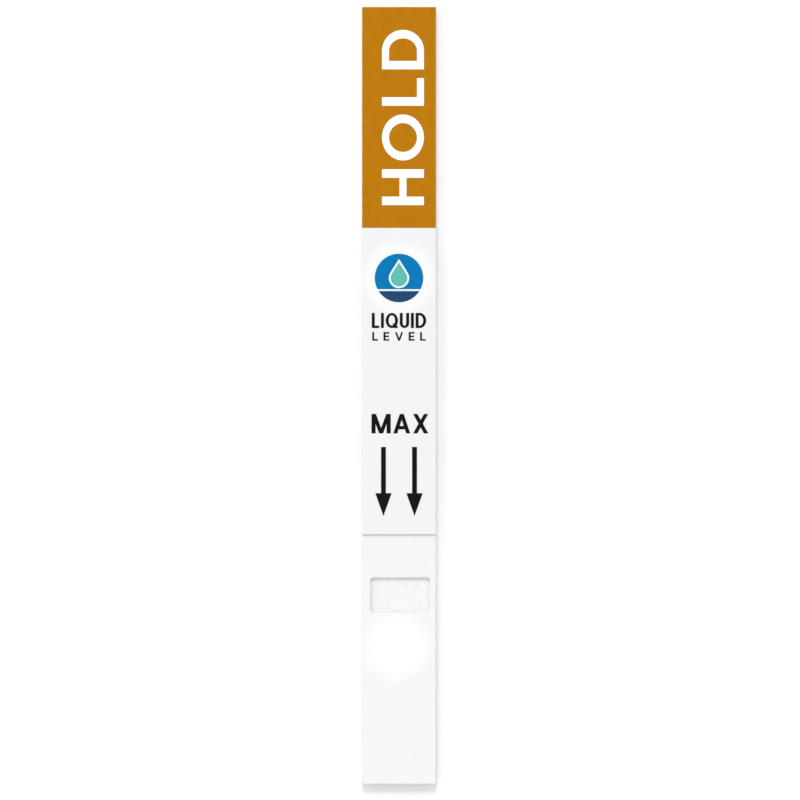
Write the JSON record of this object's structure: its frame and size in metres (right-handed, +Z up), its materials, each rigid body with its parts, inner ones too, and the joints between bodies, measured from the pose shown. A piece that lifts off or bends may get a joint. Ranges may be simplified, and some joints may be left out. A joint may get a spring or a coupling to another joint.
{
  "type": "lateral-flow test strip",
  "caption": "Slim laminated dip strip: white card carrying wicking pads and a membrane, coloured handle label, printed film with a fill mark, and a die-cut sample window.",
  "frame": {"origin": "centre of the backing card's underside, the face that the strip lies on", "axes": "+X across the strip, +Y along it from the dipping end to the handle end, +Z up out of the printed face"},
  "size_m": [0.0076, 0.08, 0.0013],
  "materials": {
    "card": "satin",
    "membrane": "matte",
    "conjugate_fibre": "matte",
    "cotton_pad": "matte",
    "cover_sheet": "satin",
    "white_film": "satin",
    "ochre_label": "satin",
    "white_ink": "satin",
    "blue_ink": "satin",
    "teal_ink": "satin",
    "navy_ink": "satin",
    "black_ink": "satin"
  },
  "bodies": {
    "root": {"backing_card": "card", "test_membrane": "membrane", "conjugate_pad": "conjugate_fibre", "sample_pad": "cotton_pad", "absorbent_pad": "cotton_pad", "sample_cover": "cover_sheet", "marking_film": "white_film", "handle_label": "ochre_label", "handle_lettering": "white_ink", "symbol_disc": "blue_ink", "symbol_drop": "teal_ink", "symbol_liquid": "navy_ink", "level_lettering": "black_ink", "max_lettering": "black_ink", "max_arrows": "black_ink"}
  },
  "joints": []
}
